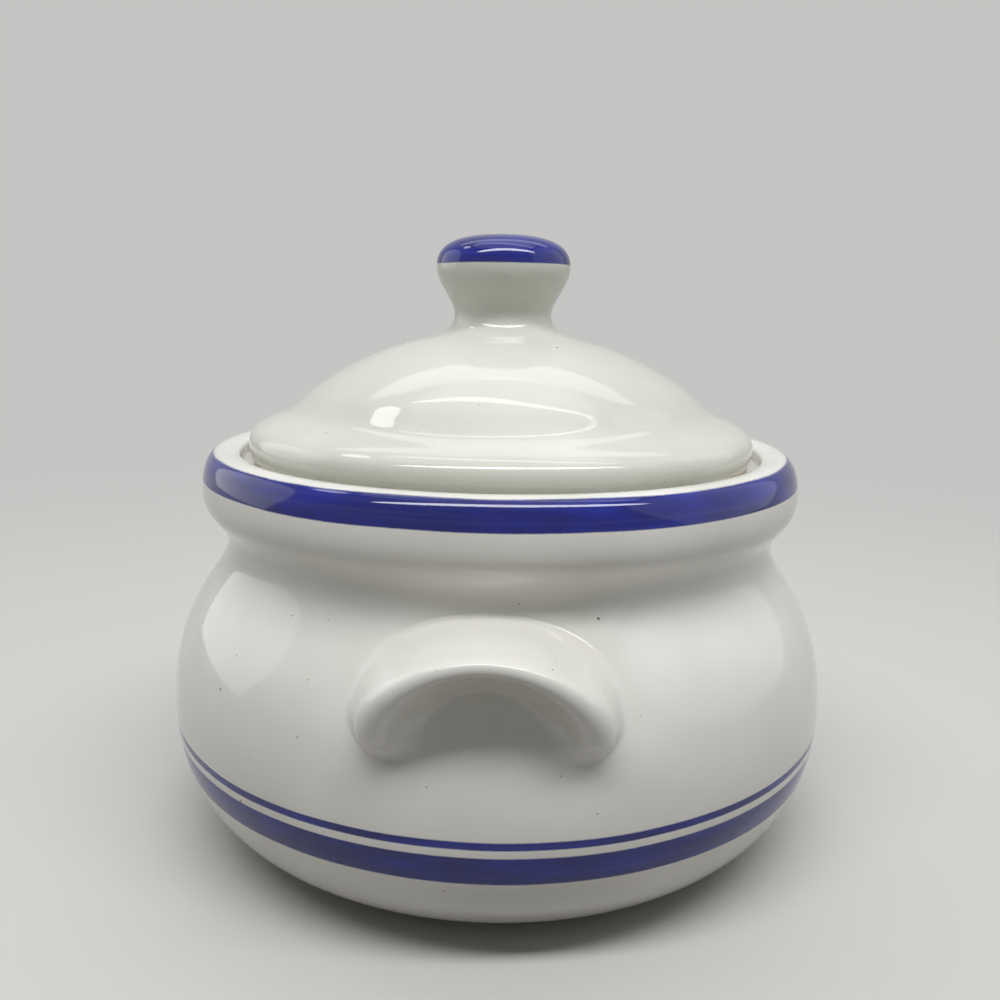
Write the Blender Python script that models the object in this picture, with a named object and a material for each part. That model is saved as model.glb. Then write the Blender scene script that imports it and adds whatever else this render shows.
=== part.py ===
"""Lidded stoneware crock: a turned pot with two lug handles, and a domed lid with a knob.

Metres, +Z up. The origin is on the pot's axis, on the surface that its foot stands on.
The handles point along -Y and +Y. Every profile point is a pair (radius, height).
"""
import math

import bmesh
import bpy

# Pot, from its foot up
POT_HEIGHT = 0.0876       # foot up to the top of the rim
FOOT_RADIUS = 0.0545      # outside of the foot ring
FOOT_WIDTH = 0.0055       # flat face of the foot ring
FOOT_HEIGHT = 0.0020      # ring below the base
BELLY_RADIUS = 0.0760     # widest point
BELLY_RISE = 0.0283       # base up to the widest point
NECK_RADIUS = 0.0633      # narrowest point, outside
RIM_RISE = 0.0203         # neck up to the top of the rim
RIM_OVERHANG = 0.0049     # rim's outside beyond the neck
RIM_FACE_DROP = 0.0088    # top of the rim down to its widest point
RIM_WIDTH = 0.0084        # rim's outside in to the gallery wall
GALLERY_DEPTH = 0.0034    # top of the rim down to the ledge that carries the lid
LEDGE_WIDTH = 0.0083      # gallery wall in to the throat
LEDGE_THICKNESS = 0.0040  # ledge at the throat
WALL = 0.0058             # clay of the pot, side and base

# Lug handles
LUG_WIDTH = 0.0480        # across the outside of both legs
LUG_RISE = 0.0165         # legs up to the top of the arch
LUG_DROP = 0.0018         # neck down to the top of the arch
LUG_STRAP = 0.0109        # root of the strap at the top of the arch
LUG_OPENING = 0.0220      # between the legs, at the wall
LUG_OPENING_DROP = 0.0027 # finger opening's centre below the arch's centre
LUG_REACH = 0.0148        # wall out to the lip, at the top of the arch
TOE_REACH = 0.0012        # wall out to the lug's face, at the ends of the legs
LIP_RADIUS = 0.0015       # rounding of the lip at the top of the arch
LEG_RADIUS = 0.0037       # rounding of the lip at the legs
LIP_LIFT = 0.0025         # lip above the middle of the root, at the top of the arch
LEG_LIFT = 0.0022         # lip outside the middle of the root, at the legs
LEG_TIP = 0.0045          # rounded end of each leg

# Lid
LID_CLEARANCE = 0.0019    # brim in from the gallery wall
BRIM_WIDTH = 0.0106       # lid's outside in to the foot of the dome
BRIM_RISE = 0.0122        # seat up to the foot of the dome
BRIM_EDGE_RISE = 0.0047   # seat up to the brim's widest point
SEAT_INSET = 0.0019       # lid's outside in to the flat seat
SEAT_WIDTH = 0.0050       # flat ring that stands on the ledge
CROWN_RISE = 0.0175       # foot of the dome up to its crown
LID_WALL = 0.0050         # clay of the dome

# Knob
KNOB_FOOT_RADIUS = 0.0150 # where it is luted on to the dome
KNOB_FOOT_EDGE = 0.0005   # blunt edge of that foot
WAIST_RADIUS = 0.0112
WAIST_RISE = 0.0032       # crown of the dome up to the waist
KNOB_RADIUS = 0.01535
GRIP_RISE = 0.0106        # waist up to the widest point
CAP_RISE = 0.0073         # widest point up to the top

# Painted cobalt lines, measured down the outside
RIM_BAND_DROP = 0.0004    # top of the rim down to its band
RIM_BAND_WIDTH = 0.0054
FINE_LINE_DROP = 0.0013   # widest point of the belly down to the fine line
FINE_LINE_WIDTH = 0.00155
LINE_GAP = 0.0016         # bare glaze between the two lower lines
BROAD_BAND_WIDTH = 0.00585
CAP_PAINT_RISE = 0.0005   # widest point of the knob up to its painted cap

# Fullness of the curves: how long each end keeps its direction, as a share of the span
SHOULDER_PULLS = (0.68, 0.22)
RIM_UNDER_PULLS = (0.48, 0.48)
RIM_FACE_PULLS = (0.74, 0.56)
RIM_INNER_PULLS = (0.62, 0.60)
RIM_CROWN_SHARE = 0.45    # crown of the rim, from the gallery wall out
RIM_EDGE_SHARE = 0.45     # rounded part of the gallery wall, from the top down
LEDGE_LIP_SHARE = 0.35    # rounded part of the ledge's edge
LEDGE_LIP_PULLS = (0.50, 0.50)
THROAT_PULLS = (0.19, 0.37)
DOME_CROWN_PULL = (0.507, 0.034)  # out along the radius, down along the rise
DOME_FOOT_PULL = (0.867, 0.394)   # out along the radius, up along the rise
FLARE_PULLS = ((0.13, 0.11), (0.30, 0.17))  # out along the brim, down along its rise
FLARE_END = (0.49, 0.23)
BRIM_TOP_PULLS = ((0.745, 0.311), (1.0, 0.418))
BRIM_UNDER_PULLS = (0.55, 0.70)
CAP_PULLS = (0.72, 0.68)
GRIP_PULLS = (0.38, 0.30)
STEM_PULLS = (0.60, 0.50)
FACE_BOW = 1.5            # the lug's face leans back to the legs' ends, 1 for a straight face
FLANK_BOW = 1.25          # the strap's sides are hollow from wall to lip, 1 for straight ones
TIP_FADE = 0.5            # the ends of the legs sink into the wall, 1 for a steady slope

# Fits and facets
JOINT_GAP = 0.0003        # left between pieces that touch
POT_FACETS = 56
KNOB_FACETS = 32
LUG_STEPS = 16            # sections along the arch
LEG_TIP_ANGLES = (80, 55, 28)        # sections round the end of a leg, in degrees
FLANK_SHARES = (0.0, 0.25, 0.6)      # points up each side of the strap, wall to lip
LIP_ANGLES = (90, 45, 0, -45, -90)   # points round the lip, in degrees
ROOT_SHARES = (-0.34, 0.34)          # points across the root, on the wall
SHARP_ANGLE = math.radians(40)

# Heights and radii that follow from the sizes above
BELLY_Z = FOOT_HEIGHT + BELLY_RISE
RIM_Z = POT_HEIGHT
NECK_Z = RIM_Z - RIM_RISE
LEDGE_Z = RIM_Z - GALLERY_DEPTH
RIM_RADIUS = NECK_RADIUS + RIM_OVERHANG
GALLERY_RADIUS = RIM_RADIUS - RIM_WIDTH
THROAT_RADIUS = GALLERY_RADIUS - LEDGE_WIDTH
LID_Z = LEDGE_Z + JOINT_GAP
LID_RADIUS = GALLERY_RADIUS - LID_CLEARANCE
DOME_RADIUS = LID_RADIUS - BRIM_WIDTH
DOME_Z = LID_Z + BRIM_RISE
CROWN_Z = DOME_Z + CROWN_RISE
LUG_Z = NECK_Z - LUG_DROP
ARCH_Z = LUG_Z - LUG_RISE
LIP_Z = LUG_Z - LUG_STRAP / 2 + LIP_LIFT
LEG_X = (LUG_WIDTH + LUG_OPENING) / 4
TOE_Z = ARCH_Z - LUG_OPENING_DROP / 2 - LEG_TIP

# Paint of the two finishes, as (red, green, blue, alpha)
GLAZE_WHITE = (0.70, 0.70, 0.65, 1.0)
COBALT_BLUE = (0.012, 0.010, 0.20, 1.0)
GLAZE_ROUGHNESS = 0.12


def clear_scene():
    for old in list(bpy.data.objects):
        bpy.data.objects.remove(old, do_unlink=True)


def glaze(name, colour):
    """A glossy fired glaze."""
    material = bpy.data.materials.new(name)
    material.use_nodes = True
    shader = material.node_tree.nodes["Principled BSDF"]
    shader.inputs["Base Color"].default_value = colour
    shader.inputs["Roughness"].default_value = GLAZE_ROUGHNESS
    shader.inputs["Metallic"].default_value = 0.0
    material.diffuse_color = colour
    return material


def curve(start, pull_out, pull_in, end, steps):
    """Points of a cubic Bezier curve from start to end, without the start itself."""
    points = []
    for step in range(1, steps + 1):
        t = step / steps
        weights = ((1 - t) ** 3, 3 * t * (1 - t) ** 2, 3 * t * t * (1 - t), t ** 3)
        corners = (start, pull_out, pull_in, end)
        points.append(tuple(sum(w * c[axis] for w, c in zip(weights, corners)) for axis in (0, 1)))
    return points


def sweep(start, end, pulls, steps):
    """A curve that is upright at both ends."""
    rise = end[1] - start[1]
    pull_out = (start[0], start[1] + pulls[0] * rise)
    pull_in = (end[0], end[1] - pulls[1] * rise)
    return curve(start, pull_out, pull_in, end, steps)


def round_over(start, end, pulls, steps):
    """A curve that starts upright and ends level."""
    run, rise = end[0] - start[0], end[1] - start[1]
    pull_out = (start[0], start[1] + pulls[0] * rise)
    pull_in = (end[0] - pulls[1] * run, end[1])
    return curve(start, pull_out, pull_in, end, steps)


def round_down(start, end, pulls, steps):
    """A curve that starts level and ends upright."""
    run, rise = end[0] - start[0], end[1] - start[1]
    pull_out = (start[0] + pulls[0] * run, start[1])
    pull_in = (end[0], end[1] - pulls[1] * rise)
    return curve(start, pull_out, pull_in, end, steps)


def offset(points, distance):
    """The same line moved sideways, to the left of the way it runs."""
    moved = []
    for index, (radius, height) in enumerate(points):
        before = points[max(index - 1, 0)]
        after = points[min(index + 1, len(points) - 1)]
        run, rise = after[0] - before[0], after[1] - before[1]
        length = math.hypot(run, rise)
        moved.append((radius - distance * rise / length, height + distance * run / length))
    return moved


def value_at(pairs, key):
    """Straight-line reading of a table of (key, value) pairs whose keys rise."""
    for (low, first), (high, second) in zip(pairs, pairs[1:]):
        if key <= high:
            share = (key - low) / (high - low)
            return first + (second - first) * share
    return pairs[-1][1]


def with_heights(points, heights):
    """A rising line with a point added at each of the heights that it crosses."""
    rising = [(height, radius) for radius, height in points]
    added = [(value_at(rising, height), height) for height in heights]
    return sorted(points + added, key=lambda point: point[1])


def band_edges():
    """Lowest and highest edge of each painted line on the pot, from the top down."""
    rim_top = RIM_Z - RIM_BAND_DROP
    fine_top = BELLY_Z - FINE_LINE_DROP
    broad_top = fine_top - FINE_LINE_WIDTH - LINE_GAP
    return [
        (rim_top - RIM_BAND_WIDTH, rim_top),
        (fine_top - FINE_LINE_WIDTH, fine_top),
        (broad_top - BROAD_BAND_WIDTH, broad_top),
    ]


def lower_side(steps=8):
    """Outside of the pot from the base to its widest point: a quarter of an ellipse."""
    points = []
    for step in range(steps + 1):
        angle = math.pi / 2 * step / steps
        radius = FOOT_RADIUS + (BELLY_RADIUS - FOOT_RADIUS) * math.sin(angle)
        points.append((radius, BELLY_Z - BELLY_RISE * math.cos(angle)))
    return points


def shoulder(steps=8):
    """Outside of the pot from its widest point in to the neck."""
    return sweep((BELLY_RADIUS, BELLY_Z), (NECK_RADIUS, NECK_Z), SHOULDER_PULLS, steps)


def rim_crown():
    """Highest point of the rim."""
    return (GALLERY_RADIUS + RIM_CROWN_SHARE * RIM_WIDTH, RIM_Z)


def rim_outside():
    """Outside of the rim from the neck up to its crown."""
    widest = (RIM_RADIUS, RIM_Z - RIM_FACE_DROP)
    under = sweep((NECK_RADIUS, NECK_Z), widest, RIM_UNDER_PULLS, 5)
    return under + round_over(widest, rim_crown(), RIM_FACE_PULLS, 6)


def gallery():
    """From the rim's crown down into the gallery and over the ledge to the throat."""
    edge = (GALLERY_RADIUS, RIM_Z - RIM_EDGE_SHARE * GALLERY_DEPTH)
    lip = LEDGE_LIP_SHARE * LEDGE_THICKNESS
    lip_start = (THROAT_RADIUS + lip, LEDGE_Z)
    ledge = [(GALLERY_RADIUS, LEDGE_Z), lip_start]
    lip_end = (THROAT_RADIUS, LEDGE_Z - lip)
    return (round_down(rim_crown(), edge, RIM_INNER_PULLS, 4) + ledge
            + round_down(lip_start, lip_end, LEDGE_LIP_PULLS, 3))


def pot_outside():
    """The whole outside of the pot, rising from the base to the rim's crown."""
    return lower_side() + shoulder() + rim_outside()


def pot_outline():
    """Closed section of the pot, from the middle of its floor round to the middle of its base."""
    inside = offset(lower_side(5) + shoulder(6), WALL)
    floor = [(0.0, inside[0][1])]
    throat = sweep((THROAT_RADIUS, LEDGE_Z - LEDGE_THICKNESS), inside[-1], THROAT_PULLS, 4)
    throat = [(THROAT_RADIUS, LEDGE_Z - LEDGE_THICKNESS)] + throat[:-1]
    edges = [height for band in band_edges() for height in band]
    outside = with_heights(pot_outside(), edges)
    down = gallery() + throat
    foot_inside = FOOT_RADIUS - FOOT_WIDTH
    foot = [(FOOT_RADIUS, 0.0), (foot_inside, 0.0)]
    base = [(foot_inside - FOOT_HEIGHT, FOOT_HEIGHT), (0.0, FOOT_HEIGHT)]
    return floor + inside + down[::-1] + outside[::-1] + foot + base


def dome():
    """Outside of the lid's dome, from its crown down to its foot."""
    crown = (0.0, CROWN_Z)
    crown_pull = (DOME_CROWN_PULL[0] * DOME_RADIUS, CROWN_Z - DOME_CROWN_PULL[1] * CROWN_RISE)
    foot_pull = (DOME_FOOT_PULL[0] * DOME_RADIUS, DOME_Z + DOME_FOOT_PULL[1] * CROWN_RISE)
    return [crown] + curve(crown, crown_pull, foot_pull, (DOME_RADIUS, DOME_Z), 8)


def brim():
    """Outside of the lid's brim, from the foot of the dome round to the seat."""
    def at(share):
        return (DOME_RADIUS + share[0] * BRIM_WIDTH, DOME_Z - share[1] * BRIM_RISE)

    widest = (LID_RADIUS, LID_Z + BRIM_EDGE_RISE)
    flare = curve((DOME_RADIUS, DOME_Z), at(FLARE_PULLS[0]), at(FLARE_PULLS[1]), at(FLARE_END), 3)
    top = curve(at(FLARE_END), at(BRIM_TOP_PULLS[0]), at(BRIM_TOP_PULLS[1]), widest, 4)
    return flare + top + round_over(widest, (LID_RADIUS - SEAT_INSET, LID_Z), BRIM_UNDER_PULLS, 4)


def lid_outline():
    """Closed section of the lid, from its crown round its seat to the middle of its hollow."""
    hollow = offset(dome()[::-1], LID_WALL)
    hollow[-1] = (0.0, CROWN_Z - LID_WALL)
    seat_inner = (LID_RADIUS - SEAT_INSET - SEAT_WIDTH, LID_Z)
    return dome() + brim() + [seat_inner] + hollow


def knob_outline():
    """Closed section of the knob, from its top round its foot to the middle of its underside."""
    waist = (WAIST_RADIUS, CROWN_Z + WAIST_RISE)
    widest = (KNOB_RADIUS, waist[1] + GRIP_RISE)
    top = (0.0, widest[1] + CAP_RISE)
    cap = round_down(top, widest, CAP_PULLS, 7)
    cap = with_heights(cap[::-1], [widest[1] + CAP_PAINT_RISE])[::-1]
    grip = sweep(widest, waist, GRIP_PULLS, 7)
    seat = dome()
    foot = (KNOB_FOOT_RADIUS, value_at(seat, KNOB_FOOT_RADIUS) + JOINT_GAP)
    stem = round_over(waist, (foot[0], foot[1] + KNOB_FOOT_EDGE), STEM_PULLS, 5)
    underside = [(radius, height + JOINT_GAP) for radius, height in seat if radius < KNOB_FOOT_RADIUS]
    return [top] + cap + grip + stem + [foot] + underside[::-1]


def finish_mesh(bm, name, materials):
    """Close the faces up, point them outwards and make the named object."""
    bmesh.ops.recalc_face_normals(bm, faces=bm.faces)
    mesh = bpy.data.meshes.new(name)
    bm.to_mesh(mesh)
    bm.free()
    for material in materials:
        mesh.materials.append(material)
    mesh.shade_smooth()
    mesh.set_sharp_from_angle(angle=SHARP_ANGLE)
    piece = bpy.data.objects.new(name, mesh)
    bpy.context.collection.objects.link(piece)
    return piece


def turned(name, outline, facets, materials, painted=()):
    """A solid turned from a section that starts and ends on the axis.

    painted holds (lowest, highest) heights: outward faces between them take the second material.
    """
    bm = bmesh.new()
    rings = []
    for radius, height in outline:
        if radius == 0.0:
            rings.append([bm.verts.new((0.0, 0.0, height))])
            continue
        ring = []
        for facet in range(facets):
            angle = 2 * math.pi * facet / facets
            ring.append(bm.verts.new((radius * math.cos(angle), radius * math.sin(angle), height)))
        rings.append(ring)
    for ring, after, (radius, height), (next_radius, next_height) in zip(
            rings, rings[1:], outline, outline[1:]):
        middle = (height + next_height) / 2
        outward = next_height < height
        paint = int(outward and any(low < middle < high for low, high in painted))
        for facet in range(facets):
            beside = (facet + 1) % facets
            corners = [ring[facet % len(ring)], ring[beside % len(ring)],
                       after[beside % len(after)], after[facet % len(after)]]
            face = bm.faces.new(list(dict.fromkeys(corners)))
            face.material_index = paint
    return finish_mesh(bm, name, materials)


def wall_depth(x, height, wall):
    """How far the pot's outside lies from the axis plane at x, with the joint's gap."""
    radius = value_at(wall, height) + JOINT_GAP
    return math.sqrt(radius * radius - x * x)


def face_depth(height, wall):
    """How far the lug's face lies from the axis plane: it leans back from the lip to the legs' ends."""
    lip = wall_depth(0.0, LUG_Z - LUG_STRAP / 2, wall) + LUG_REACH
    toe = wall_depth(LEG_X, TOE_Z, wall) + TOE_REACH
    share = min(max((LIP_Z - height) / (LIP_Z - TOE_Z), 0.0), 1.0)
    return lip + (toe - lip) * share ** FACE_BOW


def lug_section(turn, tip, wall):
    """One closed section of the lug, as (x, depth, height) points.

    turn is the angle along the arch from its top, and tip the angle round the end of a leg.
    """
    opening_z = ARCH_Z - LUG_OPENING_DROP
    opening_rise = LUG_RISE + LUG_OPENING_DROP - LUG_STRAP
    outer = (LUG_WIDTH / 2 * math.sin(turn), ARCH_Z + LUG_RISE * math.cos(turn))
    inner = (LUG_OPENING / 2 * math.sin(turn), opening_z + opening_rise * math.cos(turn))
    middle = ((outer[0] + inner[0]) / 2, (outer[1] + inner[1]) / 2 - LEG_TIP * math.sin(tip))
    across = (outer[0] - inner[0], outer[1] - inner[1])
    root = math.hypot(*across) / 2
    across = (across[0] / (2 * root), across[1] / (2 * root))
    top = math.cos(turn)
    shrink = math.cos(tip)
    root *= shrink
    side_rounding = (LEG_RADIUS + (LIP_RADIUS - LEG_RADIUS) * top) * shrink
    lift = (LIP_LIFT * top + LEG_LIFT * math.sin(turn) ** 2) * shrink
    foot = wall_depth(*middle, wall)
    reach = (face_depth(middle[1] + lift * across[1], wall) - foot) * shrink ** TIP_FADE
    face_rounding = min(side_rounding, reach / 2)
    lip_depth = foot + reach - face_rounding

    def place(side, depth):
        return (middle[0] + side * across[0], depth, middle[1] + side * across[1])

    def wall_point(side):
        x, _, height = place(side, 0.0)
        return (x, wall_depth(x, height, wall), height)

    def flank(sign, share):
        half = side_rounding + (root - side_rounding) * (1 - share) ** FLANK_BOW
        depth = wall_point(sign * root)[1]
        return place(lift * share + sign * half, depth + (lip_depth - depth) * share)

    points = [flank(1, share) for share in FLANK_SHARES]
    for angle in LIP_ANGLES:
        bow = math.radians(angle)
        out = face_rounding * math.cos(bow)
        points.append(place(lift + side_rounding * math.sin(bow), lip_depth + out))
    points += [flank(-1, share) for share in reversed(FLANK_SHARES)]
    points += [wall_point(root * share) for share in ROOT_SHARES]
    return points


def lug(name, materials):
    """An arch-shaped handle that follows the pot's shoulder and points along -Y."""
    wall = [(height, radius) for radius, height in pot_outside()]
    quarter = math.pi / 2
    tips = [math.radians(angle) for angle in LEG_TIP_ANGLES]
    places = [(-quarter, tip) for tip in tips]
    places += [(quarter * (2 * step / LUG_STEPS - 1), 0.0) for step in range(LUG_STEPS + 1)]
    places += [(quarter, tip) for tip in reversed(tips)]
    bm = bmesh.new()
    sections = []
    for turn, tip in places:
        section = lug_section(turn, tip, wall)
        sections.append([bm.verts.new((x, -depth, height)) for x, depth, height in section])
    for section, after in zip(sections, sections[1:]):
        for index in range(len(section)):
            beside = (index + 1) % len(section)
            bm.faces.new((section[index], section[beside], after[beside], after[index]))
    bm.faces.new(sections[0])
    bm.faces.new(reversed(sections[-1]))
    return finish_mesh(bm, name, materials)


def build():
    clear_scene()
    pot_white = glaze("pot_glaze", GLAZE_WHITE)
    lug_white = glaze("lug_glaze", GLAZE_WHITE)
    lid_white = glaze("lid_glaze", GLAZE_WHITE)
    knob_white = glaze("knob_glaze", GLAZE_WHITE)
    cobalt = glaze("cobalt_line", COBALT_BLUE)

    pot = turned("crock_body", pot_outline(), POT_FACETS, [pot_white, cobalt], band_edges())

    front = lug("handle_front", [lug_white])
    rear = bpy.data.objects.new("handle_rear", front.data)
    rear.rotation_euler.z = math.pi
    bpy.context.collection.objects.link(rear)
    for handle in (front, rear):
        handle.parent = pot

    lid = turned("lid", lid_outline(), POT_FACETS, [lid_white])
    cap_bottom = CROWN_Z + WAIST_RISE + GRIP_RISE + CAP_PAINT_RISE
    knob = turned("lid_knob", knob_outline(), KNOB_FACETS, [knob_white, cobalt],
                  [(cap_bottom, cap_bottom + CAP_RISE)])
    knob.parent = lid


build()
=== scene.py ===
"""Looks of the lidded stoneware crock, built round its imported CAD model.

Metres, +Z up, the front lug along -Y. The glazed skins are turned from the CAD sections, so they keep
the CAD sizes: one skin for the pot with its two lugs, and one for the lid with its knob, because the
glaze runs over those joints without a break.
"""
import math

import bmesh
import bpy
import numpy as np
from mathutils import Matrix, Vector
from mathutils.geometry import delaunay_2d_cdt


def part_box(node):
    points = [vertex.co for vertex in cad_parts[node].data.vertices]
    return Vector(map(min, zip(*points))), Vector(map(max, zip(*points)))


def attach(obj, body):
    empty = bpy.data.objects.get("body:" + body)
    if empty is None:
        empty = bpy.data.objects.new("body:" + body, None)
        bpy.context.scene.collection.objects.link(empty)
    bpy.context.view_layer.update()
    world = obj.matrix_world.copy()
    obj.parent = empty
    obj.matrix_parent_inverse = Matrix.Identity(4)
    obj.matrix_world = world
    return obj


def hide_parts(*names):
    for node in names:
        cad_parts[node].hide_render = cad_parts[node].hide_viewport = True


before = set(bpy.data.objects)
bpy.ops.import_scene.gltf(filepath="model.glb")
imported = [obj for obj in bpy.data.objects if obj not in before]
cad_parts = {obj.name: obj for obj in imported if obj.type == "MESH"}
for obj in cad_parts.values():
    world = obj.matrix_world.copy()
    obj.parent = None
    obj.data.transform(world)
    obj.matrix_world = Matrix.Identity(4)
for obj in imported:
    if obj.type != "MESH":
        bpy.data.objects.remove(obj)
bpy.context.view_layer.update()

# Turning the skins
WELD = 1e6                            # CAD points are compared in micrometres
STRAIGHT = math.radians(0.5)          # a point that turns less than this lies on a straight facet
CORNER = math.radians(44)             # a point that turns more than this is a real edge
CORNER_ROUNDING = 0.0007              # length that such an edge loses to its rounding, each way
CORNER_STEPS = 5
LONG_FACET = 2.5                      # a facet this much longer than its neighbour is a flat
FLAT_SHARES = (1.0, 2.5)              # points that hold a flat straight, in lengths of that neighbour
FINE_STEP = 0.0001                    # spacing of the smooth line before it is thinned out
LONGEST_STEP = 0.0022                 # rings of a skin: spacing and bend between two of them
WIDEST_TURN = math.radians(7)
COLUMNS = 192                         # facets round a skin
ON_AXIS = 1e-9                        # a ring of a smaller radius is one point on the axis

# Knob's root on the dome
KNOB_FILLET = 0.0050                  # dome that the root's curve takes up beyond the knob's foot
STEM_END = math.radians(-35)          # slope at which the knob's stem goes over into that curve

# Lugs, beyond what the CAD box of a lug gives
LUG_RISE = 0.0165                     # legs up to the top of the arch
LUG_STRAP = 0.0109                    # root of the strap at the top of the arch
LUG_OPENING = 0.0220                  # between the legs, at the wall
LUG_OPENING_DROP = 0.0027             # finger opening's centre below the arch's centre
FACE_BOW = 1.5                        # the face leans back from the lip to the legs' ends in a soft bow
TOE_REACH = 0.0008                    # wall out to that face, at the legs' ends
LIP_RADII = (0.0015, 0.0031)          # at the top of the arch, and at the legs
LIP_LIFTS = (0.0025, 0.0014)          # lip beyond the middle of the root, likewise
LUG_FILLETS = {1: (0.0012, 0.0030), -1: (0.0009, 0.0009)}  # glaze round the outer and the inner root
FLANK_BOWS = {1: (1.35, 0.95), -1: (1.15, 1.00)}  # above 1 for a hollow flank, below 1 for a full one
LEG_TIP = 0.0055                      # rounded end of each leg
TIP_BLUNTNESS = 0.8                   # how fast that end narrows
TIP_FADE = 3.0                        # and how softly it sinks into the wall
LUG_ROWS = 56                         # sections along the arch
TIP_ROWS = 12                         # sections round the end of a leg
LUG_COLUMNS = 48                      # points of a section
FILLET_SHARES = (1.0, 0.62, 0.25)     # control points on the wall, as shares of the fillet
FLANK_SHARES = (0.08, 0.36, 0.70)     # control points up a flank, wall to lip
LIP_ANGLES = (75, 38, 0, -38, -75)    # control points round the lip, in degrees
LIP_SWELL = 1.11                      # a spline runs inside its control points by about a tenth

# Joining a lug to the wall
FRONT = (COLUMNS * 3 // 4, 1)         # column of the skin at a lug's middle, and the way the lug faces
REAR = (COLUMNS // 4, -1)
WINDOW_MARGIN = 0.0030                # wall round a lug's outline that is meshed with it
PATCH_MARGIN = 0.0010                 # wall points this close to the outline are left out
SLOPE_REACH = 3                       # points each way along the wall's line that give its slope
FILL_HULL = 0                         # delaunay_2d_cdt then fills all between the outermost points
SAME_POINT = 1e-9                     # and takes points closer than this for one

# Painted lines, as (lowest, highest) heights
RIM_BAND = (0.0818, 0.0872)
FINE_LINE = (0.02745, 0.0290)
BROAD_BAND = (0.0200, 0.02585)
CAP_LINE = 0.1285                     # the knob is painted above this height
RIM_BAND_INNER = 0.0637               # the rim's band stays outside this radius
WALL_LINE_INNER = 0.0720              # and the lower lines outside this one
PAINT_BLUR = 0.00016                  # of a painted edge, each way
FOOT_GLAZE = 0.0012                   # glaze ends at this height on the foot ring
SEAT_GLAZE = 0.0859                   # and at this one on the lid's brim
GLAZE_END_BLUR = 0.0001               # of that end, each way

# Colours of the glaze, the paint and the clay, each between two tints
# The lid's glaze is a greener grey than the pot's. Beyond that, the pot's tints are lighter and the lid's
# darker than one glaze would be: painted light on the pot's shaded walls, painted shade on the lid's lit
# top
POT_TINTS_WITH_PAINTED_LIGHT = ((0.780, 0.775, 0.736, 1.0), (0.705, 0.700, 0.656, 1.0))
LID_TINTS_WITH_PAINTED_SHADE = ((0.672, 0.679, 0.616, 1.0), (0.616, 0.621, 0.553, 1.0))
COBALT = ((0.001, 0.006, 0.150, 1.0), (0.002, 0.012, 0.270, 1.0))
CLAY = ((0.70, 0.64, 0.54, 1.0), (0.58, 0.50, 0.40, 1.0))
IRON = (0.055, 0.045, 0.038, 1.0)     # specks
GLAZE_ROUGHNESS = (0.045, 0.085)      # patch by patch
CLAY_ROUGHNESS = 0.80

# Noises, as cells per metre (all round, or along x, y and z) and detail
WANDER = (32.0, 2.0)                  # painted edges wander
NIBBLE = (1100.0, 2.0)                # and are a little rough
STREAKS = ((16.0, 16.0, 1300.0), 2.0)  # brush streaks round the pot
CLOUDS = ((70.0, 70.0, 240.0), 2.0)   # thick and thin cobalt
MOTTLE = (24.0, 3.0)                  # tints of the glaze
GLOSS = (60.0, 2.0)                   # its roughness
WAVES = (38.0, 1.0)                   # slow waves of the hand
THROWING = ((9.0, 9.0, 210.0), 1.0)   # rings from the potter's fingers
GRAIN = (2600.0, 4.0)                 # bare clay

# Stretches of a noise's values that carry it from one end to the other
EDGE_RANGE = (0.25, 0.75)
STREAK_RANGE = (0.25, 0.60)
CLOUD_RANGE = (0.35, 0.75)
MOTTLE_RANGE = (0.35, 0.65)
GRAIN_RANGE = (0.30, 0.70)
GLOSS_RANGE = (0.30, 0.70)

# What the noises do
EDGE_WANDER = 0.00016                 # painted edge, each way
EDGE_NIBBLE = 0.00002
THIN_COVER = 0.985                    # cover of the paint in a streak
WAVE_HEIGHT = 0.00026
THROWING_HEIGHT = 0.000028
GRIT_HEIGHT = 0.00006                 # grain of bare clay

# Iron specks, as cells per metre, largest radius and share of the cells that have one
SMALL_SPECKS = (260.0, 0.00026, 0.60)
LARGE_SPECKS = (120.0, 0.00038, 0.80)
SMALL_COVER = 0.55
LARGE_COVER = 0.80
SPECK_SIZES = (0.45, 1.0)             # as shares of the largest radius
SPECK_EDGE = 0.35                     # share of a speck that fades out

# Sockets of a Mix node that belong to colours
MIX_SHARE, MIX_A, MIX_B = 0, 6, 7
MIX_RESULT = 2

# Stage
FLOOR_RADIUS = 4.0
FLOOR_SIDES = 96
FLOOR_ROUGHNESS = 0.65
FLOOR_COLOUR = (0.545, 0.54, 0.527, 1.0)
FLOOR_BOUNCE = (0.27, 0.26, 0.245, 1.0)  # darker for the light that the floor throws back
FLOOR_FADE = (0.12, 0.60)             # the floor turns into the backdrop between these distances
BACKDROP = (0.56, 0.556, 0.545, 1.0)  # what the camera and reflections see behind the object
AMBIENT = 0.07                        # level of the light from all round
LIT_POINT = (0.0, 0.0, 0.07)          # the lamps face this point
# Name, direction, distance, (width, height), level at the object, and False for no reflection
LAMPS = (
    ("key_light", (0.05, -0.38, 0.92), 1.4, (2.20, 0.28), 1.08),
    ("top_light", (0.0, 0.10, 1.0), 1.4, (1.50, 1.20), 0.15),
    ("strip_light", (0.05, 0.20, 0.98), 1.3, (1.40, 0.07), 0.06),
    ("window_light", (-0.56, 0.19, 0.81), 1.3, (0.26, 0.20), 0.035),
    ("left_light", (-0.92, 0.28, 0.27), 1.5, (1.40, 1.40), 0.19),
    ("right_light", (0.90, 0.05, 0.42), 1.5, (2.10, 1.90), 0.205),
    ("back_light", (0.0, 0.55, 0.83), 1.4, (1.70, 0.34), 0.085),
    ("rear_fill", (0.0, 0.98, 0.20), 1.5, (2.20, 0.80), 0.20, False),
)

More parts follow.
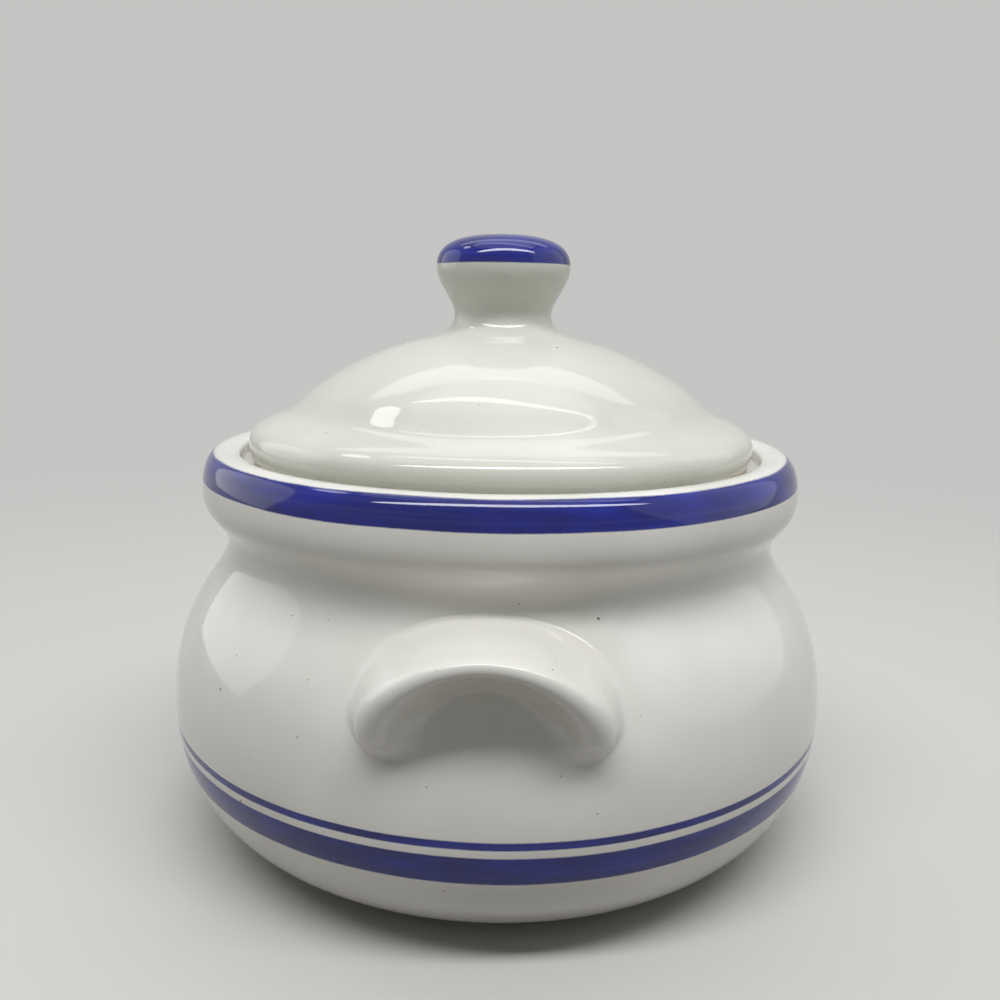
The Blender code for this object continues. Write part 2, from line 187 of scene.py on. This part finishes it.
# Camera, fitted to the photograph
CAMERA_AZIMUTH = math.radians(1.6)
CAMERA_PITCH = math.radians(11.77)
CAMERA_ROLL = math.radians(0.9)
CAMERA_DISTANCE = 0.2240              # from the pot's axis
CAMERA_HEIGHT = 0.1202
LENS = 34.2                           # in millimetres, on this sensor
SENSOR = 36.0
CLIP = (0.01, 20.0)                   # nearest and farthest that it sees


def section(node):
    """The CAD node's outline at y = 0, as (radius, height) points in order from its upper axis point.

    A level face may have no edge in this plane, so the line then goes on at the same height.
    """
    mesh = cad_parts[node].data
    places = [tuple(round(c * WELD) for c in vertex.co) for vertex in mesh.vertices]
    links = {(x, z): set() for x, y, z in places if y == 0 and x >= 0}
    for edge in mesh.edges:
        (ax, ay, az), (bx, by, bz) = (places[index] for index in edge.vertices)
        if ay == by == 0 and min(ax, bx) >= 0:
            links[ax, az].add((bx, bz))
            links[bx, bz].add((ax, az))
    line = [min(links)]
    while len(line) < len(links):
        left = [p for p in links if p not in line]
        linked = [p for p in left if p in links[line[-1]]]
        level = [p for p in left if p[1] == line[-1][1]]
        line.append((linked or level)[0])
    line.reverse()
    if line[0][0] > 0:
        line.insert(0, (0, line[0][1]))
    if line[-1][0] > 0:
        line.append((0, line[-1][1]))
    return np.array(line) / WELD


def turns(points):
    """Angle that a line turns through at each of its inner points."""
    steps = np.diff(points, axis=0)
    headings = np.unwrap(np.arctan2(steps[:, 1], steps[:, 0]))
    return np.abs(np.diff(headings))


def spline(points):
    """A dense smooth curve through the points."""
    gaps = np.linalg.norm(np.diff(points, axis=0), axis=1)
    knots = np.concatenate(([0.0], np.cumsum(gaps)))
    count = len(points)
    slopes = np.diff(points, axis=0) / gaps[:, None]
    rows = np.eye(count)
    bends = np.zeros((count, 2))
    for i in range(1, count - 1):
        rows[i, i - 1:i + 2] = gaps[i - 1], 2 * (gaps[i - 1] + gaps[i]), gaps[i]
        bends[i] = 6 * (slopes[i] - slopes[i - 1])
    bends = np.linalg.solve(rows, bends)
    along = np.linspace(0, knots[-1], max(2, int(knots[-1] / FINE_STEP)))
    span = np.clip(np.searchsorted(knots, along, side="right") - 1, 0, count - 2)
    gap = gaps[span]
    before = ((knots[span + 1] - along) / gap)[:, None]
    after = 1 - before
    bow = (before ** 3 - before) * bends[span] + (after ** 3 - after) * bends[span + 1]
    return before * points[span] + after * points[span + 1] + bow * (gap ** 2)[:, None] / 6


def with_flats(points):
    """The points, with more of them at the ends of long flats, so that a smooth curve keeps these flat."""
    gaps = np.linalg.norm(np.diff(points, axis=0), axis=1)
    held = [points[0]]
    for i, gap in enumerate(gaps):
        before = gaps[i - 1] if i > 0 else gap
        after = gaps[i + 1] if i + 1 < len(gaps) else gap
        shares = []
        if gap > LONG_FACET * before:
            shares += [before * share / gap for share in FLAT_SHARES]
        if gap > LONG_FACET * after:
            shares += [1 - after * share / gap for share in FLAT_SHARES]
        held += [points[i] + (points[i + 1] - points[i]) * share for share in sorted(shares)]
        held.append(points[i + 1])
    return np.array(held)


def smooth_run(points):
    """A smooth curve through points without a corner. It crosses the axis level."""
    if len(points) == 2:
        count = max(2, int(np.linalg.norm(points[1] - points[0]) / FINE_STEP))
        return np.linspace(points[0], points[1], count)
    points = with_flats(points)
    mirror = np.array([-1.0, 1.0])
    on_axis = [end for end in (0, -1) if points[end][0] == 0]
    if 0 in on_axis:
        points = np.vstack((points[2:0:-1] * mirror, points))
    if -1 in on_axis:
        points = np.vstack((points, points[-2:-4:-1] * mirror))
    line = spline(points)
    line = line[line[:, 0] >= 0]
    line[on_axis, 0] = 0.0
    return line


def smooth_section(points):
    """The section as a dense smooth line: facets become curves, and sharp edges are eased."""
    bend = turns(points)
    points = points[np.concatenate(([True], bend > STRAIGHT, [True]))]
    corners = np.flatnonzero(turns(points) > CORNER) + 1
    ends = [0, *corners, len(points) - 1]
    runs = [smooth_run(points[a:b + 1]) for a, b in zip(ends, ends[1:])]
    line = [runs[0]]
    for run in runs[1:]:
        corner = run[0]
        before = line[-1][np.linalg.norm(line[-1] - corner, axis=1) > CORNER_ROUNDING]
        after = run[np.linalg.norm(run - corner, axis=1) > CORNER_ROUNDING]
        t = np.linspace(0, 1, CORNER_STEPS + 2)[1:-1, None]
        ease = (1 - t) ** 2 * before[-1] + 2 * t * (1 - t) * corner + t ** 2 * after[0]
        line[-1] = before
        line += [ease, after]
    return np.vstack(line)


def rings_along(line):
    """Points spread along the line, closer where it bends, with the normals to its left."""
    steps = np.diff(line, axis=0)
    lengths = np.linalg.norm(steps, axis=1)
    cost = lengths / LONGEST_STEP
    cost[1:] += turns(line) / WIDEST_TURN
    reached = np.concatenate(([0.0], np.cumsum(cost)))
    wanted = np.linspace(0, reached[-1], int(math.ceil(reached[-1])) + 1)

    def spread(values):
        return np.stack([np.interp(wanted, reached, values[:, axis]) for axis in (0, 1)], axis=1)

    tangents = steps / lengths[:, None]
    tangents = np.vstack((tangents[:1], (tangents[1:] + tangents[:-1]) / 2, tangents[-1:]))
    tangents = spread(tangents)
    normals = np.stack((-tangents[:, 1], tangents[:, 0]), axis=1)
    return spread(line), normals / np.linalg.norm(normals, axis=1)[:, None]


class Skin:
    """Vertices, vertex normals and faces of one skin while it is put together."""

    def __init__(self):
        self.points, self.normals, self.faces = [], [], []

    def add(self, point, normal=(0.0, 0.0, 0.0)):
        """A vertex's index. A normal of zero is left to the mesh."""
        self.points.append(tuple(point))
        self.normals.append(tuple(normal))
        return len(self.points) - 1

    def turn(self, rings, normals, left_out=()):
        """A grid of faces round the axis, without those left out, which are given as (ring, column).

        Returns the grid's vertices, ring by ring.
        """
        grid = []
        for (radius, height), (across, up) in zip(rings, normals):
            if radius < ON_AXIS:
                grid.append([self.add((0.0, 0.0, height), (0.0, 0.0, math.copysign(1, up)))] * COLUMNS)
                continue
            ring = []
            for column in range(COLUMNS):
                angle = 2 * math.pi * column / COLUMNS
                c, s = math.cos(angle), math.sin(angle)
                ring.append(self.add((radius * c, radius * s, height), (across * c, across * s, up)))
            grid.append(ring)
        for i, (ring, after) in enumerate(zip(grid, grid[1:])):
            for j in range(COLUMNS):
                if (i, j) not in left_out:
                    beside = (j + 1) % COLUMNS
                    corners = (ring[j], after[j], after[beside], ring[beside])
                    self.faces.append(tuple(dict.fromkeys(corners)))
        return grid

    def make(self, name, material):
        """The object, with smooth shading and without the points that no face uses."""
        used = sorted({index for face in self.faces for index in face})
        new = {old: index for index, old in enumerate(used)}
        mesh = bpy.data.meshes.new(name)
        mesh.from_pydata([self.points[i] for i in used], [], [[new[i] for i in f] for f in self.faces])
        mesh.materials.append(material)
        mesh.shade_smooth()
        mesh.normals_split_custom_set_from_vertices([self.normals[i] for i in used])
        piece = bpy.data.objects.new(name, mesh)
        bpy.context.collection.objects.link(piece)
        return piece


def b_spline(controls, count):
    """Points of a clamped cubic B-spline, without a break in its curvature."""
    controls = np.asarray(controls)
    padded = np.vstack((controls[:1], controls[:1], controls, controls[-1:], controls[-1:]))
    spans = len(padded) - 3
    along = np.linspace(0, spans, count)
    span = np.minimum(along.astype(int), spans - 1)
    t = (along - span)[:, None]
    weights = ((1 - t) ** 3, 3 * t ** 3 - 6 * t ** 2 + 4, -3 * t ** 3 + 3 * t ** 2 + 3 * t + 1, t ** 3)
    return sum(weight * padded[span + k] for k, weight in enumerate(weights)) / 6


class Lug:
    """The arch-shaped handle on the pot's outside, as (x, depth from the axis plane, height) points."""

    def __init__(self, outside):
        """outside is the pot's outer line, as (radius, height) points from the foot up."""
        low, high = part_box("handle_front")
        self.outside = outside
        self.half_width, self.reach_depth = high.x, -low.y
        self.arch_z = high.z - LUG_RISE
        self.lip_z = high.z - LUG_STRAP / 2 + LIP_LIFTS[0]
        end_x = (self.half_width + LUG_OPENING / 2) / 2
        self.end_z = self.arch_z - LUG_OPENING_DROP / 2 - LEG_TIP
        self.end_depth = self.wall(end_x, self.end_z)
        self.ends = [(sign * end_x, self.end_depth, self.end_z) for sign in (-1, 1)]
        self.sections = [self.section(turn, tip) for turn, tip in self.stations()]

    def wall(self, x, height):
        """Depth of the pot's outside at x."""
        radius = np.interp(height, self.outside[:, 1], self.outside[:, 0])
        return math.sqrt(radius * radius - x * x)

    def wall_normal(self, x, depth, height):
        """Normal of the pot's outside at a point on it."""
        k = int(np.argmin(np.abs(self.outside[:, 1] - height)))
        above = min(k + SLOPE_REACH, len(self.outside) - 1)
        below = max(k - SLOPE_REACH, 0)
        run = self.outside[above] - self.outside[below]
        across, up = run[1] / np.linalg.norm(run), -run[0] / np.linalg.norm(run)
        spread = math.hypot(x, depth)
        return (across * x / spread, across * depth / spread, up)

    def face(self, height):
        """Depth of the lug's face."""
        share = np.clip((self.lip_z - height) / (self.lip_z - self.end_z), 0.0, 1.0)
        end = self.end_depth + TOE_REACH
        return self.reach_depth + (end - self.reach_depth) * share ** FACE_BOW

    def stations(self):
        """Angles of all sections, from the end of one leg over the arch to the other, without the ends."""
        quarter = math.pi / 2
        tips = [quarter * (1 - step / TIP_ROWS) for step in range(1, TIP_ROWS)]
        angles = [(-quarter, tip) for tip in tips]
        angles += [(quarter * (2 * step / LUG_ROWS - 1), 0.0) for step in range(LUG_ROWS + 1)]
        angles += [(quarter, tip) for tip in reversed(tips)]
        return angles

    def section(self, turn, tip):
        """Section at an angle along the arch from its top, and at an angle round the end of a leg."""
        opening_z = self.arch_z - LUG_OPENING_DROP
        opening_rise = LUG_RISE + LUG_OPENING_DROP - LUG_STRAP
        outer = np.array((self.half_width * math.sin(turn), self.arch_z + LUG_RISE * math.cos(turn)))
        inner = np.array((LUG_OPENING / 2 * math.sin(turn), opening_z + opening_rise * math.cos(turn)))
        leg = math.sin(turn) ** 2
        narrowed = math.cos(tip) ** TIP_BLUNTNESS

        def blend(values):
            return (values[0] + (values[1] - values[0]) * leg) * narrowed

        middle = (outer + inner) / 2 - np.array((0.0, LEG_TIP * math.sin(tip)))
        across = outer - inner
        root = np.linalg.norm(across) / 2
        across /= 2 * root
        root *= narrowed
        lip, lift = blend(LIP_RADII), blend(LIP_LIFTS)
        reach = self.face(middle[1] + lift * across[1]) - self.wall(*middle)
        reach *= math.cos(tip) ** TIP_FADE
        lip_out = min(lip, reach / 2)
        lip_depth = self.wall(*middle) + reach - lip_out

        def place(side, depth=None):
            x, height = middle + side * across
            return (x, self.wall(x, height) if depth is None else depth, height)

        def flank(sign, share):
            top_bow, leg_bow = FLANK_BOWS[sign]
            bow = top_bow + (leg_bow - top_bow) * leg
            half = lip + (root - sign * lift - lip) * (1 - share) ** bow
            depth = place(sign * root)[1]
            return place(lift + sign * half, depth + (lip_depth - depth) * share)

        controls = [place(root + blend(LUG_FILLETS[1]) * share) for share in FILLET_SHARES]
        controls += [flank(1, share) for share in FLANK_SHARES]
        for angle in LIP_ANGLES:
            bend = math.radians(angle)
            out = lip_out * LIP_SWELL * math.cos(bend)
            controls.append(place(lift + lip * LIP_SWELL * math.sin(bend), lip_depth + out))
        controls += [flank(-1, share) for share in reversed(FLANK_SHARES)]
        controls += [place(-root - blend(LUG_FILLETS[-1]) * share) for share in reversed(FILLET_SHARES)]
        return b_spline(controls, LUG_COLUMNS)


class Window:
    """The stretch of wall that is meshed together with a lug.

    Its points are given by the skin's ring and by the column, counted from the lug's middle.
    """

    def __init__(self, lug, rings):
        spots = [(x, z) for s in lug.sections for x, _, z in (s[0], s[-1])]
        low = min(lug.end_z, min(z for _, z in spots)) - WINDOW_MARGIN
        high = max(z for _, z in spots) + WINDOW_MARGIN
        top_ring = int(np.argmax(rings[:, 1]))
        span = [i for i in range(top_ring, len(rings)) if low < rings[i, 1] < high]
        self.first, self.last = span[0] - 1, span[-1] + 1
        self.radius = rings[self.first, 0]
        widest = max(math.atan2(abs(x), lug.wall(x, z)) for x, z in spots) + WINDOW_MARGIN / self.radius
        self.half = math.ceil(widest * COLUMNS / (2 * math.pi))

    def faces(self, centre):
        """The skin's faces in it, as (ring, column of the skin), where the lug's middle is at centre."""
        columns = range(centre - self.half, centre + self.half)
        return {(i, j % COLUMNS) for i in range(self.first, self.last) for j in columns}

    def border(self):
        """The points all the way round it."""
        first, last, half = self.first, self.last, self.half
        points = [(first, j) for j in range(-half, half)]
        points += [(i, half) for i in range(first, last)]
        points += [(last, j) for j in range(half, -half, -1)]
        points += [(i, -half) for i in range(last, first, -1)]
        return points

    def inside(self):
        """The points within that border."""
        columns = range(1 - self.half, self.half)
        return [(i, j) for i in range(self.first + 1, self.last) for j in columns]


def add_lug(skin, lug, facing):
    """Adds the lug on one side of the pot to the skin. Returns its outline on the wall."""
    def turned(vector):
        x, depth, height = vector
        return (facing * x, -facing * depth, height)

    def on_wall(point):
        return skin.add(turned(point), turned(lug.wall_normal(*point)))

    rows = []
    for points in lug.sections:
        free = [turned(point) for point in points[1:-1]]
        rows.append([on_wall(points[0]), *map(skin.add, free), on_wall(points[-1])])
    left_end, right_end = [on_wall(point) for point in lug.ends]
    for row, after in zip(rows, rows[1:]):
        for k in range(LUG_COLUMNS - 1):
            skin.faces.append((row[k], row[k + 1], after[k + 1], after[k]))
    for k in range(LUG_COLUMNS - 1):
        skin.faces.append((left_end, rows[0][k + 1], rows[0][k]))
        skin.faces.append((right_end, rows[-1][k], rows[-1][k + 1]))
    return [left_end, *(row[0] for row in rows), right_end, *(row[-1] for row in reversed(rows))]


def inside_loop(point, loop):
    """True if the point lies inside the closed line."""
    crossings = 0
    for (ax, ay), (bx, by) in zip(loop, loop[1:] + loop[:1]):
        if (ay > point[1]) != (by > point[1]):
            crossings += point[0] < ax + (point[1] - ay) / (by - ay) * (bx - ax)
    return crossings % 2 == 1


def fill_wall(skin, grid, window, side, loop):
    """Fills the wall between a lug's outline and the window's border with triangles.

    They are found on the wall as it lies unrolled on a plane.
    """
    centre, facing = side

    def vertex(ring, column):
        return grid[ring][(centre + column) % COLUMNS]

    def unrolled(index):
        x, y, z = skin.points[index]
        return (math.atan2(facing * x, -facing * y) * window.radius, z)

    outline = [unrolled(index) for index in loop]
    spots = np.array(outline)
    border = [vertex(*point) for point in window.border()]
    inner = []
    for index in [vertex(*point) for point in window.inside()]:
        place = unrolled(index)
        near = np.min(np.linalg.norm(spots - place, axis=1)) < PATCH_MARGIN
        if not near and not inside_loop(place, outline):
            inner.append(index)
    indices = border + loop + inner
    count = len(border)
    edges = [(k, (k + 1) % count) for k in range(count)]
    edges += [(count + k, count + (k + 1) % len(loop)) for k in range(len(loop))]
    flat = [Vector(unrolled(index)) for index in indices]
    _, _, triangles, origins, _, _ = delaunay_2d_cdt(flat, edges, [], FILL_HULL, SAME_POINT)
    for triangle in triangles:
        corners = [indices[origins[k][0]] for k in triangle]
        centroid = np.mean([unrolled(index) for index in corners], axis=0)
        if not inside_loop(centroid, outline):
            skin.faces.append(tuple(corners))


def build_pot(material):
    """The pot and its two lugs in one closed skin."""
    line = smooth_section(section("crock_body"))
    rings, normals = rings_along(line)
    outside = line[int(np.argmax(line[:, 1])):][::-1]
    rising = np.diff(np.maximum.accumulate(outside[:, 1])) > 0
    lug = Lug(outside[np.concatenate(([True], rising))])
    window = Window(lug, rings)
    skin = Skin()
    grid = skin.turn(rings, normals, window.faces(FRONT[0]) | window.faces(REAR[0]))
    for side in (FRONT, REAR):
        outline = add_lug(skin, lug, side[1])
        fill_wall(skin, grid, window, side, outline)
    return skin.make("crock_glazed", material)


def bezier(start, pull_out, pull_in, end, count):
    """Points of a cubic curve between start and end, without these."""
    t = np.linspace(0, 1, count + 2)[1:-1, None]
    s = 1 - t
    return s ** 3 * start + 3 * t * s ** 2 * pull_out + 3 * t ** 2 * s * pull_in + t ** 3 * end


def build_lid(material):
    """The lid and its knob in one closed skin."""
    knob = section("lid_knob")
    foot = int(np.argmax(turns(knob) > CORNER)) + 1
    stem = smooth_run(knob[:foot + 1])
    dome = smooth_section(section("lid"))
    dome = dome[np.argmax(dome[:, 0] > knob[foot, 0] + KNOB_FILLET):]

    # The stem ends where its lower half has flattened out, and a curve leads on to the dome
    steps = np.diff(stem, axis=0)
    lower = stem[1:, 1] < (stem[0, 1] + stem[-1, 1]) / 2
    flattened = np.arctan2(steps[:, 1], steps[:, 0]) > STEM_END
    stem = stem[:1 + int(np.argmax((steps[:, 0] > 0) & lower & flattened))]
    start, end = stem[-1], dome[0]
    gap = np.linalg.norm(end - start)
    leave, arrive = stem[-1] - stem[-2], dome[1] - dome[0]
    pull_out = start + leave / np.linalg.norm(leave) * gap / 3
    pull_in = end - arrive / np.linalg.norm(arrive) * gap / 3
    root = bezier(start, pull_out, pull_in, end, int(gap / FINE_STEP))

    skin = Skin()
    skin.turn(*rings_along(np.vstack((stem, root, dome))))
    return skin.make("lid_glazed", material)


class Graph:
    """Short hand for wiring the nodes of a material or a world."""

    def __init__(self, owner):
        owner.use_nodes = True
        self.links = owner.node_tree.links
        self.nodes = owner.node_tree.nodes

    def plug(self, value, socket):
        """Links another socket to this one, or gives it a fixed value."""
        if isinstance(value, bpy.types.NodeSocket):
            self.links.new(value, socket)
        else:
            socket.default_value = value

    def add(self, kind, *values, **settings):
        """A node, with values for its first inputs and settings for its properties."""
        node = self.nodes.new(kind)
        for name, value in settings.items():
            setattr(node, name, value)
        for value, socket in zip(values, node.inputs):
            self.plug(value, socket)
        return node

    def math(self, operation, *values):
        """Result of one operation on numbers."""
        return self.add("ShaderNodeMath", *values, operation=operation).outputs[0]

    def length(self, vector):
        """How long a vector is."""
        return self.add("ShaderNodeVectorMath", vector, operation="LENGTH").outputs["Value"]

    def scaled(self, vector, factors):
        """A vector times factors along x, y and z."""
        return self.add("ShaderNodeVectorMath", vector, factors, operation="MULTIPLY").outputs[0]

    def noise(self, place, cells, detail):
        """Cloudy noise from 0 to 1, about 0.5."""
        node = self.add("ShaderNodeTexNoise")
        if isinstance(cells, tuple):
            place, cells = self.scaled(place, cells), 1.0
        self.plug(place, node.inputs["Vector"])
        self.plug(cells, node.inputs["Scale"])
        self.plug(detail, node.inputs["Detail"])
        return node.outputs["Fac"]

    def ramp(self, value, low, high, to_low=0.0, to_high=1.0, shape="SMOOTHSTEP"):
        """value carried from the range low..high to another, and held at its ends."""
        node = self.add("ShaderNodeMapRange", value, low, high, to_low, to_high, interpolation_type=shape)
        return node.outputs[0]

    def relief(self, noise, height):
        """Noise as a height in metres."""
        return self.ramp(noise, 0.0, 1.0, 0.0, height, "LINEAR")

    def mix(self, share, a, b):
        """Colour b laid over colour a."""
        node = self.add("ShaderNodeMix", data_type="RGBA")
        for value, index in ((share, MIX_SHARE), (a, MIX_A), (b, MIX_B)):
            self.plug(value, node.inputs[index])
        return node.outputs[MIX_RESULT]

    def above(self, height, edge):
        """1 above a painted edge, and 0 below it."""
        return self.ramp(height, edge - PAINT_BLUR, edge + PAINT_BLUR)

    def band(self, height, edges):
        """1 between two painted edges, and 0 elsewhere."""
        fall = self.ramp(height, edges[1] - PAINT_BLUR, edges[1] + PAINT_BLUR, 1.0, 0.0)
        return self.math("MULTIPLY", self.above(height, edges[0]), fall)

    def specks(self, place, scale, radius, kept):
        """Small round spots, in a share of the cells of that scale."""
        cells = self.add("ShaderNodeTexVoronoi")
        self.plug(place, cells.inputs["Vector"])
        self.plug(scale, cells.inputs["Scale"])
        lot = self.add("ShaderNodeSeparateColor", cells.outputs["Color"]).outputs
        size = self.math("MULTIPLY", self.ramp(lot[1], 0.0, 1.0, *SPECK_SIZES), radius * scale)
        spot = self.math("SUBTRACT", 1.0, self.math("DIVIDE", cells.outputs["Distance"], size))
        spot = self.ramp(spot, 0.0, SPECK_EDGE)
        return self.math("MULTIPLY", spot, self.math("LESS_THAN", lot[0], kept))

    def seen(self):
        """1 for what is seen directly, reflected or through glass, and 0 for what only gives light."""
        path = self.add("ShaderNodeLightPath").outputs
        indirect = self.math("MAXIMUM", path["Is Glossy Ray"], path["Is Transmission Ray"])
        return self.math("MAXIMUM", path["Is Camera Ray"], indirect)


def glaze(name, tints, painted, bare_below):
    """Glossy stoneware glaze with iron specks and painted cobalt. The clay is bare below a height."""
    material = bpy.data.materials.new(name)
    g = Graph(material)
    shader = g.nodes["Principled BSDF"].inputs
    place = g.add("ShaderNodeTexCoord").outputs["Object"]
    height = g.add("ShaderNodeSeparateXYZ", place).outputs[2]
    radius = g.length(g.scaled(place, (1.0, 1.0, 0.0)))

    # A brush held against a turning pot: edges wander a little, and the colour runs in streaks
    wander = g.ramp(g.noise(place, *WANDER), *EDGE_RANGE, -EDGE_WANDER, EDGE_WANDER, "LINEAR")
    nibble = g.ramp(g.noise(place, *NIBBLE), *EDGE_RANGE, -EDGE_NIBBLE, EDGE_NIBBLE, "LINEAR")
    brushed = g.math("ADD", g.math("ADD", height, wander), nibble)
    streaks = g.ramp(g.noise(place, *STREAKS), *STREAK_RANGE, THIN_COVER, 1.0)
    cover = g.math("MULTIPLY", painted(g, brushed, radius), streaks)
    cobalt = g.mix(g.ramp(g.noise(place, *CLOUDS), *CLOUD_RANGE), *COBALT)

    colour = g.mix(g.ramp(g.noise(place, *MOTTLE), *MOTTLE_RANGE), *tints)
    colour = g.mix(cover, colour, cobalt)
    small = g.math("MULTIPLY", g.specks(place, *SMALL_SPECKS), SMALL_COVER)
    large = g.math("MULTIPLY", g.specks(place, *LARGE_SPECKS), LARGE_COVER)
    colour = g.mix(g.math("MAXIMUM", small, large), colour, IRON)

    grain = g.noise(place, *GRAIN)
    bare = g.ramp(brushed, bare_below - GLAZE_END_BLUR, bare_below + GLAZE_END_BLUR, 1.0, 0.0)
    colour = g.mix(bare, colour, g.mix(g.ramp(grain, *GRAIN_RANGE), *CLAY))
    g.plug(colour, shader["Base Color"])

    gloss = g.ramp(g.noise(place, *GLOSS), *GLOSS_RANGE, *GLAZE_ROUGHNESS)
    rough = g.ramp(bare, 0.0, 1.0, 0.0, CLAY_ROUGHNESS)
    g.plug(g.math("MAXIMUM", gloss, rough), shader["Roughness"])

    waves = g.relief(g.noise(place, *WAVES), WAVE_HEIGHT)
    rings = g.relief(g.noise(place, *THROWING), THROWING_HEIGHT)
    grit = g.math("MULTIPLY", bare, g.relief(grain, GRIT_HEIGHT))
    bump = g.add("ShaderNodeBump")
    g.plug(1.0, bump.inputs["Strength"])
    g.plug(1.0, bump.inputs["Distance"])
    g.plug(g.math("ADD", g.math("ADD", waves, rings), grit), bump.inputs["Height"])
    g.plug(bump.outputs["Normal"], shader["Normal"])
    return material


def pot_lines(g, height, radius):
    """Where the pot is painted: a band on the rim, and a fine and a broad line under the belly."""
    rim = g.math("MULTIPLY", g.band(height, RIM_BAND), g.math("GREATER_THAN", radius, RIM_BAND_INNER))
    low = g.math("MAXIMUM", g.band(height, FINE_LINE), g.band(height, BROAD_BAND))
    low = g.math("MULTIPLY", low, g.math("GREATER_THAN", radius, WALL_LINE_INNER))
    return g.math("MAXIMUM", rim, low)


def knob_cap(g, height, _radius):
    """Where the lid is painted: the top of its knob."""
    return g.above(height, CAP_LINE)


def floor_paint():
    """Plain pale floor that goes over into the backdrop away from the object."""
    material = bpy.data.materials.new("floor_paint")
    g = Graph(material)
    seen = g.seen()
    shader = g.nodes["Principled BSDF"]
    g.plug(g.mix(seen, FLOOR_BOUNCE, FLOOR_COLOUR), shader.inputs["Base Color"])
    g.plug(FLOOR_ROUGHNESS, shader.inputs["Roughness"])
    away = g.length(g.add("ShaderNodeTexCoord").outputs["Object"])
    backdrop = g.add("ShaderNodeEmission", g.mix(seen, FLOOR_BOUNCE, BACKDROP))
    faded = g.ramp(away, *FLOOR_FADE)
    surface = g.add("ShaderNodeMixShader", faded, shader.outputs[0], backdrop.outputs[0])
    g.plug(surface.outputs[0], g.nodes["Material Output"].inputs["Surface"])
    return material


def build_floor():
    """The pale floor, a wide disc."""
    bm = bmesh.new()
    bmesh.ops.create_circle(bm, cap_ends=True, segments=FLOOR_SIDES, radius=FLOOR_RADIUS)
    mesh = bpy.data.meshes.new("floor")
    bm.to_mesh(mesh)
    bm.free()
    mesh.materials.append(floor_paint())
    floor = bpy.data.objects.new("floor", mesh)
    bpy.context.collection.objects.link(floor)


def build_world():
    """The backdrop, which gives only a little light."""
    world = bpy.data.worlds.new("studio")
    bpy.context.scene.world = world
    g = Graph(world)
    background = g.nodes["Background"].inputs
    g.plug(BACKDROP, background["Color"])
    g.plug(g.ramp(g.seen(), 0.0, 1.0, AMBIENT / BACKDROP[0], 1.0, "LINEAR"), background["Strength"])


def soft_light(name, direction, distance, size, level, reflected=True):
    """A soft box in that direction. At level 1, a surface that faces it shows its own colour.

    The camera never sees it. The object reflects it, unless reflected is False.
    """
    lamp = bpy.data.lights.new(name, "AREA")
    lamp.shape = "ELLIPSE"
    lamp.size, lamp.size_y = size
    lamp.energy = level * (math.pi * distance) ** 2
    light = bpy.data.objects.new(name, lamp)
    toward = Vector(direction).normalized()
    light.location = Vector(LIT_POINT) + toward * distance
    light.rotation_euler = (-toward).to_track_quat("-Z", "Y").to_euler()
    light.visible_camera = False
    light.visible_glossy = reflected
    bpy.context.collection.objects.link(light)


def build_camera():
    """The photograph's camera."""
    eye = bpy.data.cameras.new("camera")
    eye.lens = LENS
    eye.sensor_width = SENSOR
    eye.clip_start, eye.clip_end = CLIP
    camera = bpy.data.objects.new("camera", eye)
    camera.matrix_world = (Matrix.Rotation(CAMERA_AZIMUTH, 4, "Z")
                           @ Matrix.Translation((0.0, -CAMERA_DISTANCE, CAMERA_HEIGHT))
                           @ Matrix.Rotation(math.pi / 2 - CAMERA_PITCH, 4, "X")
                           @ Matrix.Rotation(CAMERA_ROLL, 4, "Z"))
    bpy.context.collection.objects.link(camera)
    bpy.context.scene.camera = camera


pot = build_pot(glaze("pot_stoneware", POT_TINTS_WITH_PAINTED_LIGHT, pot_lines, FOOT_GLAZE))
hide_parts("crock_body", "handle_front", "handle_rear")
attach(pot, "pot")

lid = build_lid(glaze("lid_stoneware", LID_TINTS_WITH_PAINTED_SHADE, knob_cap, SEAT_GLAZE))
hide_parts("lid", "lid_knob")
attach(lid, "lid")

build_floor()
build_world()
for lamp_row in LAMPS:
    soft_light(*lamp_row)
build_camera()
bpy.context.scene.view_settings.view_transform = "Standard"
